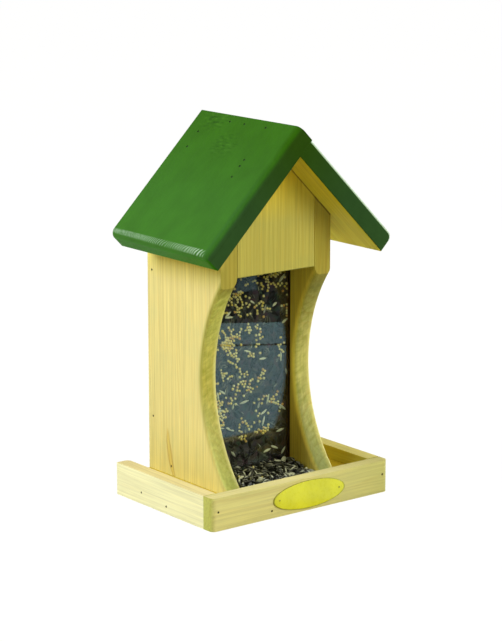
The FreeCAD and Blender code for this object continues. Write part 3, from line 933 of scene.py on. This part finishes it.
def reflection_cards():
    """Cards on the floor in front, seen only as reflections in the pane."""
    away = Vector((0.53, -0.85)).normalized()
    beside = Vector((-away.y, away.x))
    pale = (0.63, 1.0, 1.08)
    bright = glow("pale_card", pale, 0.95)
    dark = glow("dark_card", (0.02, 0.02, 0.025), 1.0)
    strips = [
        ("card_near", 0.10, 0.577, 0.6, bright),
        ("card_seam", 0.577, 0.585, 0.6, dark),
        ("card_far", 0.585, 0.697, 0.6, bright),
        ("card_dark", 0.697, 1.6, 0.8, dark),
    ]
    patch = [(0.508, -0.690), (0.545, -0.692), (0.603, -0.768), (0.567, -0.762)]
    dim = glow("dim_card", pale, 0.4)
    unseen_card("card_patch", patch, 3 * MM, dim)
    for name, near, far, half, material in strips:
        side = beside * half
        ends = [away * near - side, away * near + side, away * far + side, away * far - side]
        unseen_card(name, ends, 0.0, material)


def unseen_card(*card):
    """Card that is kept out of the picture and out of the light."""
    card = flat_card(*card)
    card.visible_camera = False
    card.visible_diffuse = False
    card.visible_shadow = False


def glow(name, colour_of_glow, strength):
    material = bpy.data.materials.new(name)
    shine = node("Emission", {0: rgba(colour_of_glow), 1: strength}, emptied(material))
    node("OutputMaterial", {0: shine.outputs[0]})
    return material


# Operators

class FEEDER_OT_bare_boards(bpy.types.Operator):
    """Bare pine boards of the tray, the hopper and the gable"""
    bl_idname = "feeder.bare_boards"
    bl_label = "Bare boards"

    def execute(self, context):
        look = context.scene.feeder_boards
        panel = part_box("left_side_panel")
        foot_level = panel[0].z
        pane_low, pane_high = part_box("window_pane")
        nail_low, nail_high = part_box("ramp_nails")
        groove = painted_groove_shade(pane_low.y - 1.6 * MM, pane_high.y + 4 * MM, pane_high.x + 1 * MM)
        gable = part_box("gable_board")
        # Front edges of the side panels: saw marks, with painted light in the strip, lip and arc tints
        left_edge = sawn_edge_with_painted_light(panel, gable, ((0.95, 0.96, 0.60), (0.58, 0.59, 0.29)),
                              (0.86, 1.04, 1.04), (0.67, 0.83, 0.84), (0.80, 0.86, 0.51), (0.84, 1.03, 0.77))
        right_edge = sawn_edge_with_painted_light(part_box("right_side_panel"), gable, ((0.60, 0.61, 0.30), (0.60, 0.61, 0.30)),
                               (0.57, 0.75, 1.06), (0.57, 0.75, 1.06), (0.79, 0.94, 0.98), (0.40, 0.45, 0.26))
        resin = resin_flame(look, (nail_high.y + 4 * MM, nail_low.z + 37 * MM), 45 * MM, 9 * MM)
        # Left panel darker and yellower towards the bottom
        foot = graded("Z", foot_level + 55 * MM, foot_level - 5 * MM, (0.90, 0.90, 0.72))
        # Painted light: the left panel's outer face lighter and yellower in the eave's shadow
        eave_shadow_light = graded("Z", gable[0].z - 12 * MM, gable[0].z + 10 * MM, (1.08, 1.11, 0.78), LEFT)
        left = (left_edge, resin, foot, eave_shadow_light, groove, painted_seam_shadow)
        # Right panel: painted shade on its inner face, yellower, darker high up and a little darker low down
        right = (right_edge, painted_facing_shade(LEFT, (1.13, 1.15, 0.62)),
                 graded("Z", foot_level + 112 * MM, foot_level + 155 * MM, (0.80, 0.79, 0.66), LEFT),
                 graded("Z", foot_level + 78 * MM, foot_level + 42 * MM, (0.88, 0.87, 0.95), LEFT),
                 groove, painted_seam_shadow)
        # Painted light on the gable: lighter and yellower towards the apex
        painted_apex_light = graded("Z", gable[1].z - 62 * MM, gable[1].z - 22 * MM, (1.38, 1.20, 0.30))
        under_roof = (painted_apex_light, painted_seam_shadow)
        # Painted shade on the tray floor's top, the rails' tops and the front and right rails' inner faces.
        # The front rail is also darker towards its right end
        shaded_tray_floor = (painted_facing_shade(UP, (0.78, 0.73, 0.14)),)
        rail_front = (painted_facing_shade(REAR, (0.20, 0.19, 0.17)), painted_facing_shade(UP, (0.80, 0.76, 0.68)),
                      graded("X", -10 * MM, 100 * MM, (0.82, 0.84, 0.70)))
        rail_left = (painted_facing_shade(UP, (0.79, 0.71, 0.60)),)
        rail_right = (painted_facing_shade(LEFT, (0.82, 0.80, 0.30)),)
        # Columns: node, grain turn, pith, tint, grain strength, marks. The tints are partly each board's own
        # tone and partly painted light: paler and bluer on lit boards, darker and yellower on shaded ones
        boards = [
            ("base_board", ACROSS, (0.02, 0.06, 0.0), (0.95, 0.93, 0.85), 1.0, shaded_tray_floor),
            ("front_rail", ACROSS, (0.01, 0.13, 0.0), (1.08, 1.24, 1.6), 0.35, rail_front),
            ("left_rail", FRONT_TO_BACK, (0.145, 0.05, 0.0), (1.18, 1.36, 2.05), 0.12, rail_left),
            ("right_rail", FRONT_TO_BACK, (-0.03, 0.06, 0.0), (0.92, 1.0, 0.85), 0.6, rail_right),
            ("left_side_panel", UPRIGHT, (0.13, 0.11, 0.0), (1.02, 1.04, 1.0), 0.6, left),
            ("right_side_panel", UPRIGHT, (-0.01, -0.12, 0.0), (0.96, 0.95, 0.75), 0.8, right),
            ("back_panel", UPRIGHT, (0.03, 0.02, 0.0), (0.97, 0.95, 0.9), 1.0, ()),
            ("seed_ramp", ACROSS, (0.02, 0.06, 0.0), (0.95, 0.93, 0.9), 1.0, ()),
            ("gable_board", UPRIGHT, (0.09, 0.09, 0.0), (0.73, 0.80, 0.51), 0.6, under_roof),
            ("roof_cleat", ACROSS, (0.05, 0.02, 0.0), (0.95, 0.93, 0.9), 1.0, ()),
        ]
        for node_name, turn, pith, tint, figure, marks in boards:
            body = "roof" if node_name in ("gable_board", "roof_cleat") else "feeder"
            wood = pine(node_name + "_pine", look, turn, pith, tint, figure, *marks)
            eased_board(node_name, wood, body, "pine", look.ease)
        return {"FINISHED"}


class FEEDER_OT_roof_boards(bpy.types.Operator):
    """Painted roof boards, bare underneath"""
    bl_idname = "feeder.roof_boards"
    bl_label = "Roof boards"

    def execute(self, context):
        look = context.scene.feeder_roof
        boards = context.scene.feeder_boards
        panel_low, panel_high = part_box("left_side_panel")
        thick = panel_high.x - panel_low.x
        for side, node_name in ((-1, "left_roof_board"), (1, "right_roof_board")):
            eave = (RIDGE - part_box(node_name)[0].z) / math.sin(ROOF_PITCH)
            paint = roof_finish(node_name + "_paint", look, boards, side, eave, thick)
            eased_board(node_name, paint, "roof", "roof_green", boards.ease)
        return {"FINISHED"}


class FEEDER_OT_nails(bpy.types.Operator):
    """Nail heads, bare or under the roof's paint"""
    bl_idname = "feeder.nails"
    bl_label = "Nails"

    def execute(self, context):
        steel = dull_steel("nail_steel", (0.012, 0.010, 0.009), (0.010, 0.007, 0.005))
        painted = dull_steel("painted_nails", (0.003, 0.014, 0.002), (0.002, 0.009, 0.001))
        in_paint = ("ridge_nails", "gable_nails", "cleat_nails")
        for node_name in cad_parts:
            if node_name.endswith("_nails"):
                repaint(node_name, painted if node_name in in_paint else steel)
        return {"FINISHED"}


class FEEDER_OT_pane(bpy.types.Operator):
    """Clear pane in its grooves"""
    bl_idname = "feeder.pane"
    bl_label = "Pane"

    def execute(self, context):
        look = context.scene.feeder_pane
        bm = merged_copy("window_pane")
        bmesh.ops.bevel(bm, geom=bm.edges[:], offset=0.25 * MM, offset_type="OFFSET", affect="EDGES",
                        segments=1, profile=0.5, material=-1)
        piece("window_pane_clear", bm, clear_sheet("clear_pane", look), "pane", "clear_pane", "window_pane")
        return {"FINISHED"}


class FEEDER_OT_hopper_seed(bpy.types.Operator):
    """Seed behind the pane and on top of the heap"""
    bl_idname = "feeder.hopper_seed"
    bl_label = "Seed in the hopper"

    def execute(self, context):
        look = context.scene.feeder_seed
        draw = random.Random(look.draw)
        low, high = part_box("seed_fill")
        finishes = seed_finishes(look, "hopper", plain=0.8, shine=0.1)
        shrunk_heap("seed_fill", finishes[3], "seed_heap_depth", front=2 * MM, top=7 * MM)

        margin = 0.25 * MM
        slab_low = Vector((low.x - 3 * margin, low.y + margin, low.z + margin))
        slab_high = Vector((high.x + 3 * margin, low.y + 7 * MM, high.z))
        anywhere = drawn_in(slab_low, slab_high)
        husks = heap(sunflower, PANE_HUSKS, anywhere, against_pane, look, draw)
        millet_low = Vector((slab_low.x, slab_low.y, slab_low.z + 30 * MM))
        upper = drawn_in(millet_low, slab_high)
        centres = [upper(draw) for step in range(MILLET_CLUSTERS)]
        reach = slab_high.z - millet_low.z
        for centre in centres:
            centre.y = slab_low.y
            centre.z = slab_high.z - reach * ((slab_high.z - centre.z) / reach) ** 1.35
        in_clusters = clustered(centres, millet_low, slab_high, (4 * MM, 1 * MM, 4 * MM))
        millets = heap(millet, PANE_MILLETS, in_clusters, against_pane, look, draw)
        oats = heap(oat, PANE_OATS, anywhere, against_pane, look, draw)
        for grain in oats:
            grain.spot.y = slab_low.y
        loosened(husks + millets + oats, kept_in(slab_low, slab_high), rounds=26)

        top_low = Vector((low.x + margin, slab_high.y, high.z - 16 * MM))
        top_high = Vector((high.x - margin, high.y - margin, high.z - 2 * MM))
        on_top = drawn_in(top_low, top_high)
        tops = [heap(kind, count, on_top, lying_down, look, draw)
                for kind, count in zip((sunflower, millet, oat), TOP_GRAINS)]
        loosened(sum(tops, []), kept_in(top_low, top_high), rounds=14)
        heaps = [below + above for below, above in zip((husks, millets, oats), tops)]
        seed_pieces("hopper", heaps, draw, finishes)
        return {"FINISHED"}


class FEEDER_OT_tray_seed(bpy.types.Operator):
    """Seed run out under the pane onto the tray"""
    bl_idname = "feeder.tray_seed"
    bl_label = "Seed on the tray"

    def execute(self, context):
        look = context.scene.feeder_seed
        draw = random.Random(look.draw + 1)
        low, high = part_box("seed_spill")
        pane_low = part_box("window_pane")[0]
        finishes = seed_finishes(look, "tray", plain=0.12, shine=0.3)
        shrunk_heap("seed_spill", finishes[3], "spill_depth", front=10 * MM, top=7 * MM)

        margin = 0.3 * MM
        floor_low = Vector((low.x + margin, low.y + 4 * MM, low.z + 0.1 * MM))
        floor_high = Vector((high.x - margin, high.y, high.z + 1.4 * MM))

        def hold(grain):
            kept_in(floor_low, floor_high)(grain)
            fall = max(0.0, high.y - 5 * MM - grain.spot.y)
            top = floor_high.z - 0.19 * fall
            if grain.spot.y + grain.reach.y > pane_low.y - margin:
                top = min(top, pane_low.z - margin)
            grain.spot.z = max(min(grain.spot.z, top - grain.reach.z), floor_low.z + grain.reach.z)

        anywhere = drawn_in(floor_low, floor_high)
        husks = heap(sunflower, TRAY_HUSKS, anywhere, lying_down, look, draw, size=1.15)
        millets = heap(millet, TRAY_MILLETS, anywhere, lying_down, look, draw)
        oats = heap(oat, TRAY_OATS, anywhere, lying_down, look, draw)
        oats += heap(sunflower, PALE_TRAY_SEEDS, anywhere, lying_down, look, draw)
        loosened(husks + millets + oats, hold, rounds=30)
        seed_pieces("tray", (husks, millets, oats), draw, finishes)
        return {"FINISHED"}


class FEEDER_OT_oval_plate(bpy.types.Operator):
    """Bare oval plate on the front rail"""
    bl_idname = "feeder.oval_plate"
    bl_label = "Oval plate"

    def execute(self, context):
        look = context.scene.feeder_plate
        low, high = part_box("oval_plate")
        middle = 0.5 * (low + high)
        half_wide = 0.5 * (high.x - low.x)
        half_high = 0.5 * (high.z - low.z)
        bm = bmesh.new()
        bmesh.ops.create_circle(bm, cap_ends=True, radius=1.0, segments=96)
        stand = Matrix.Translation((middle.x, high.y, middle.z)) @ Matrix.Rotation(math.radians(90), 4, "X")
        stand = stand @ Matrix.Diagonal((half_wide, half_high, 1.0, 1.0))
        bmesh.ops.transform(bm, matrix=stand, verts=bm.verts)
        grown = bmesh.ops.extrude_face_region(bm, geom=bm.faces[:])["geom"]
        front = [item for item in grown if isinstance(item, bmesh.types.BMFace)]
        verts = [item for item in grown if isinstance(item, bmesh.types.BMVert)]
        bmesh.ops.translate(bm, vec=(0.0, low.y - high.y, 0.0), verts=verts)
        for share, rise in ((0.985, 0.0), (0.94, 0.35), (0.75, 0.45), (0.4, 0.2)):
            bmesh.ops.inset_region(bm, faces=front, thickness=0.0)
            shrink = Matrix.Translation((middle.x, 0.0, middle.z)) @ Matrix.Diagonal((share, 1.0, share, 1.0))
            shrink = shrink @ Matrix.Translation((-middle.x, -rise * look.crown, -middle.z))
            bmesh.ops.transform(bm, matrix=shrink, verts=front[0].verts[:])
        bmesh.ops.recalc_face_normals(bm, faces=bm.faces)
        for face in bm.faces:
            face.smooth = abs(face.normal.y) > 0.5
        enamel = enamel_finish("yellow_enamel", look, middle, half_wide, half_high)
        piece("oval_plate_bare", bm, enamel, "feeder", "plate_yellow", "oval_plate")
        repaint("plate_pins", enamel_pin("pin_heads", look))
        return {"FINISHED"}


class FEEDER_OT_studio(bpy.types.Operator):
    """White studio: floor, lamps, reflections and camera"""
    bl_idname = "feeder.studio"
    bl_label = "Studio"

    def execute(self, context):
        look = context.scene.feeder_studio
        scene = context.scene
        scene.view_settings.view_transform = "Standard"
        scene.world = white_world(look)
        pale_floor()
        reflection_cards()
        cool = (0.96, 1.0, 1.1)
        warm = (1.0, 0.96, 0.75)
        lamp("key", (-2.0, 0.85, 1.6), (1.4, 1.4), look.key, cool)
        lamp("fill", (0.5, -2.0, 1.5), (1.8, 1.4), look.fill, warm)
        lamp("right", (1.35, 0.1, 0.45), (1.0, 0.5), look.right, cool)
        scene.camera = camera(look)
        return {"FINISHED"}


class FEEDER_PT_sidebar(bpy.types.Panel):
    """Lists the feeder's pieces and looks"""
    bl_label = "Wall bird feeder"
    bl_idname = "FEEDER_PT_sidebar"
    bl_space_type = "VIEW_3D"
    bl_region_type = "UI"
    bl_category = "Feeder"

    def draw(self, context):
        for maker in MAKERS:
            self.layout.operator(maker.bl_idname)
        for key, group in LOOKS.items():
            box = self.layout.box()
            box.label(text=group.__doc__)
            for name in group.__annotations__:
                box.prop(getattr(context.scene, key), name)


LOOKS = {
    "feeder_boards": BoardLook,
    "feeder_roof": RoofLook,
    "feeder_pane": PaneLook,
    "feeder_seed": SeedLook,
    "feeder_plate": PlateLook,
    "feeder_studio": StudioLook,
}
MAKERS = (
    FEEDER_OT_bare_boards,
    FEEDER_OT_roof_boards,
    FEEDER_OT_nails,
    FEEDER_OT_pane,
    FEEDER_OT_hopper_seed,
    FEEDER_OT_tray_seed,
    FEEDER_OT_oval_plate,
    FEEDER_OT_studio,
)
CLASSES = (*LOOKS.values(), *MAKERS, FEEDER_PT_sidebar)


def register():
    for kind in CLASSES:
        bpy.utils.register_class(kind)
    for key, group in LOOKS.items():
        setattr(bpy.types.Scene, key, PointerProperty(type=group))


def unregister():
    for key in LOOKS:
        delattr(bpy.types.Scene, key)
    for kind in reversed(CLASSES):
        bpy.utils.unregister_class(kind)


def main():
    register()
    bpy.ops.feeder.bare_boards()
    bpy.ops.feeder.roof_boards()
    bpy.ops.feeder.nails()
    bpy.ops.feeder.pane()
    bpy.ops.feeder.hopper_seed()
    bpy.ops.feeder.tray_seed()
    bpy.ops.feeder.oval_plate()
    bpy.ops.feeder.studio()


if __name__ == "__main__":
    main()
